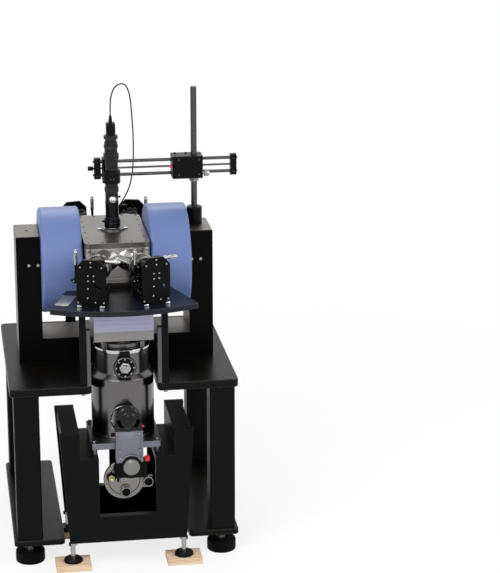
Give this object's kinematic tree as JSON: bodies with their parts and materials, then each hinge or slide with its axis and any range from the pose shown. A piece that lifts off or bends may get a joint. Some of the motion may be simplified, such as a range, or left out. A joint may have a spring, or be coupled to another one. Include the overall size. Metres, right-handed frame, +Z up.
{
  "type": "wafer probe station",
  "caption": "Cryogenic wafer probe station with electromagnet table, vacuum chamber with micromanipulated probe arms, dewar on a stand and a boom microscope with camera.",
  "frame": {"origin": "floor level under the middle of the bounding box", "axes": "+X to the operator's right, +Y away from the operator, +Z up"},
  "size_m": [0.696, 0.786, 1.3355],
  "materials": {
    "table_finish": "satin",
    "black_paint": "satin",
    "bare_steel": "brushed",
    "coil_blue": "satin",
    "copper_winding": "satin",
    "black_rubber": "matte",
    "black_anodized": "satin",
    "chamber_metal": "brushed",
    "polished_steel": "polished",
    "clear_glass": "polished",
    "plate_aluminium": "satin",
    "plywood": "raw",
    "red_plastic": "gloss",
    "cable_jacket": "matte",
    "gold_plate": "polished",
    "shroud_lavender": "satin"
  },
  "bodies": {
    "root": {"table_top": "table_finish", "table_columns": "black_paint", "table_sled_plates": "table_finish", "rubber_feet": "black_rubber", "magnet_yoke": "black_paint", "coil_cans": "coil_blue", "coil_windings": "copper_winding", "pole_pieces": "bare_steel", "deck_plates": "black_anodized", "deck_legs": "black_anodized", "chamber_body": "chamber_metal", "chamber_pedestal": "plate_aluminium", "chamber_lid": "chamber_metal", "window_glass": "clear_glass", "probe_bellows": "polished_steel", "sample_stage": "gold_plate", "manipulator_bases": "black_anodized", "dewar_body": "polished_steel", "dewar_head": "polished_steel", "dewar_mount_plate": "plate_aluminium", "neck_shroud": "shroud_lavender", "cryostat_stand": "black_paint", "stand_feet": "bare_steel", "wood_pads": "plywood", "valve_body": "plate_aluminium", "electrical_flange": "bare_steel", "boom_post": "polished_steel", "camera_cable": "cable_jacket", "camera_cable_coil": "cable_jacket", "camera_cable_plug": "cable_jacket"},
    "front_left_y_stage": {"front_left_y_stage": "black_anodized"},
    "front_left_x_stage": {"front_left_x_stage": "black_anodized"},
    "front_left_arm": {"front_left_arm": "black_anodized"},
    "front_left_x_thimble": {"front_left_x_thimble": "polished_steel"},
    "front_left_z_thimble": {"front_left_z_thimble": "polished_steel"},
    "front_right_y_stage": {"front_right_y_stage": "black_anodized"},
    "front_right_x_stage": {"front_right_x_stage": "black_anodized"},
    "front_right_arm": {"front_right_arm": "black_anodized"},
    "front_right_x_thimble": {"front_right_x_thimble": "polished_steel"},
    "front_right_z_thimble": {"front_right_z_thimble": "polished_steel"},
    "rear_right_y_stage": {"rear_right_y_stage": "black_anodized"},
    "rear_right_x_stage": {"rear_right_x_stage": "black_anodized"},
    "rear_right_arm": {"rear_right_arm": "black_anodized"},
    "rear_right_x_thimble": {"rear_right_x_thimble": "polished_steel"},
    "rear_right_z_thimble": {"rear_right_z_thimble": "polished_steel"},
    "rear_left_y_stage": {"rear_left_y_stage": "black_anodized"},
    "rear_left_x_stage": {"rear_left_x_stage": "black_anodized"},
    "rear_left_arm": {"rear_left_arm": "black_anodized"},
    "rear_left_x_thimble": {"rear_left_x_thimble": "polished_steel"},
    "rear_left_z_thimble": {"rear_left_z_thimble": "polished_steel"},
    "post_collar": {"post_collar": "black_anodized"},
    "boom": {"boom_clamp": "black_anodized", "boom_rods": "polished_steel"},
    "clamp_knob": {"clamp_knob": "polished_steel"},
    "lead_screw": {"lead_screw": "bare_steel"},
    "scope_carriage": {"scope_carriage": "black_anodized"},
    "microscope": {"microscope_body": "black_anodized", "camera": "black_anodized"},
    "zoom_ring": {"zoom_ring": "black_anodized"},
    "valve_handwheel": {"valve_handwheel": "red_plastic"}
  },
  "joints": [
    {"name": "front_left_y_slide", "type": "slide", "parent": "root", "child": "front_left_y_stage", "axis": [0.2588, 0.9659, 0], "range_m": [-0.006, 0.006], "deforming": ["probe_bellows"]},
    {"name": "front_left_x_slide", "type": "slide", "parent": "front_left_y_stage", "child": "front_left_x_stage", "axis": [0.9659, -0.2588, 0], "range_m": [-0.006, 0.006]},
    {"name": "front_left_z_slide", "type": "slide", "parent": "front_left_x_stage", "child": "front_left_arm", "axis": [0, 0, 1], "range_m": [-0.003, 0.006]},
    {"name": "front_left_x_thimble_turn", "type": "hinge", "parent": "front_left_x_stage", "child": "front_left_x_thimble", "pos_m": [-0.07143, -0.3121, 0.896], "axis": [0.9659, -0.2588, 0], "range_deg": [-4320, 4320]},
    {"name": "front_left_z_thimble_turn", "type": "hinge", "parent": "front_left_x_stage", "child": "front_left_z_thimble", "pos_m": [-0.1516, -0.29062, 0.886], "axis": [0, 0, 1], "range_deg": [-2160, 4320]},
    {"name": "front_right_y_slide", "type": "slide", "parent": "root", "child": "front_right_y_stage", "axis": [-0.2588, 0.9659, 0], "range_m": [-0.006, 0.006]},
    {"name": "front_right_x_slide", "type": "slide", "parent": "front_right_y_stage", "child": "front_right_x_stage", "axis": [0.9659, 0.2588, 0], "range_m": [-0.006, 0.006]},
    {"name": "front_right_z_slide", "type": "slide", "parent": "front_right_x_stage", "child": "front_right_arm", "axis": [0, 0, 1], "range_m": [-0.003, 0.006]},
    {"name": "front_right_x_thimble_turn", "type": "hinge", "parent": "front_right_x_stage", "child": "front_right_x_thimble", "pos_m": [0.09111, -0.2945, 0.896], "axis": [0.9659, 0.2588, 0], "range_deg": [-4320, 4320]},
    {"name": "front_right_z_thimble_turn", "type": "hinge", "parent": "front_right_x_stage", "child": "front_right_z_thimble", "pos_m": [0.01094, -0.31598, 0.886], "axis": [0, 0, 1], "range_deg": [-2160, 4320]},
    {"name": "rear_right_y_slide", "type": "slide", "parent": "root", "child": "rear_right_y_stage", "axis": [-0.2588, -0.9659, 0], "range_m": [-0.006, 0.006]},
    {"name": "rear_right_x_slide", "type": "slide", "parent": "rear_right_y_stage", "child": "rear_right_x_stage", "axis": [-0.9659, 0.2588, 0], "range_m": [-0.006, 0.006]},
    {"name": "rear_right_z_slide", "type": "slide", "parent": "rear_right_x_stage", "child": "rear_right_arm", "axis": [0, 0, 1], "range_m": [-0.003, 0.006]},
    {"name": "rear_right_x_thimble_turn", "type": "hinge", "parent": "rear_right_x_stage", "child": "rear_right_x_thimble", "pos_m": [0.02543, 0.3121, 0.896], "axis": [-0.9659, 0.2588, 0], "range_deg": [-4320, 4320]},
    {"name": "rear_right_z_thimble_turn", "type": "hinge", "parent": "rear_right_x_stage", "child": "rear_right_z_thimble", "pos_m": [0.1056, 0.29062, 0.886], "axis": [0, 0, 1], "range_deg": [-2160, 4320]},
    {"name": "rear_left_y_slide", "type": "slide", "parent": "root", "child": "rear_left_y_stage", "axis": [0.2588, -0.9659, 0], "range_m": [-0.006, 0.006]},
    {"name": "rear_left_x_slide", "type": "slide", "parent": "rear_left_y_stage", "child": "rear_left_x_stage", "axis": [-0.9659, -0.2588, 0], "range_m": [-0.006, 0.006]},
    {"name": "rear_left_z_slide", "type": "slide", "parent": "rear_left_x_stage", "child": "rear_left_arm", "axis": [0, 0, 1], "range_m": [-0.003, 0.006]},
    {"name": "rear_left_x_thimble_turn", "type": "hinge", "parent": "rear_left_x_stage", "child": "rear_left_x_thimble", "pos_m": [-0.13711, 0.2945, 0.896], "axis": [-0.9659, -0.2588, 0], "range_deg": [-4320, 4320]},
    {"name": "rear_left_z_thimble_turn", "type": "hinge", "parent": "rear_left_x_stage", "child": "rear_left_z_thimble", "pos_m": [-0.05694, 0.31598, 0.886], "axis": [0, 0, 1], "range_deg": [-2160, 4320]},
    {"name": "collar_lift", "type": "slide", "parent": "root", "child": "post_collar", "axis": [0, 0, 1], "range_m": [0, 0.04]},
    {"name": "boom_swing", "type": "hinge", "parent": "post_collar", "child": "boom", "pos_m": [0.22, 0.014, 1.052], "axis": [0, 0, 1], "range_deg": [-6, 6]},
    {"name": "clamp_knob_turn", "type": "hinge", "parent": "boom", "child": "clamp_knob", "pos_m": [0.244, 0.008, 1.064], "axis": [1, 0, 0], "range_deg": [0, 180]},
    {"name": "carriage_slide", "type": "slide", "parent": "boom", "child": "scope_carriage", "axis": [1, 0, 0], "range_m": [0, 0.06]},
    {"name": "lead_screw_turn", "type": "hinge", "parent": "boom", "child": "lead_screw", "pos_m": [-0.07, 0.038, 1.081], "axis": [1, 0, 0], "range_deg": [0, 5400]},
    {"name": "focus_slide", "type": "slide", "parent": "scope_carriage", "child": "microscope", "axis": [0, 0, 1], "range_m": [-0.002, 0.02], "deforming": ["camera_cable"]},
    {"name": "zoom_ring_turn", "type": "hinge", "parent": "microscope", "child": "zoom_ring", "pos_m": [-0.023, 0, 1.126], "axis": [0, 0, 1], "range_deg": [-120, 120]},
    {"name": "valve_turn", "type": "hinge", "parent": "root", "child": "valve_handwheel", "pos_m": [0.026, -0.35, 0.322], "axis": [1, 0, 0], "range_deg": [0, 720]}
  ],
  "couplings": [
    {"joint": "front_left_x_thimble_turn", "follows": "front_left_x_slide", "rad_per_m": 12566},
    {"joint": "front_left_z_thimble_turn", "follows": "front_left_z_slide", "rad_per_m": 12566},
    {"joint": "front_right_x_thimble_turn", "follows": "front_right_x_slide", "rad_per_m": 12566},
    {"joint": "front_right_z_thimble_turn", "follows": "front_right_z_slide", "rad_per_m": 12566},
    {"joint": "rear_right_x_thimble_turn", "follows": "rear_right_x_slide", "rad_per_m": 12566},
    {"joint": "rear_right_z_thimble_turn", "follows": "rear_right_z_slide", "rad_per_m": 12566},
    {"joint": "rear_left_x_thimble_turn", "follows": "rear_left_x_slide", "rad_per_m": 12566},
    {"joint": "rear_left_z_thimble_turn", "follows": "rear_left_z_slide", "rad_per_m": 12566},
    {"joint": "lead_screw_turn", "follows": "carriage_slide", "rad_per_m": 1570.8}
  ]
}
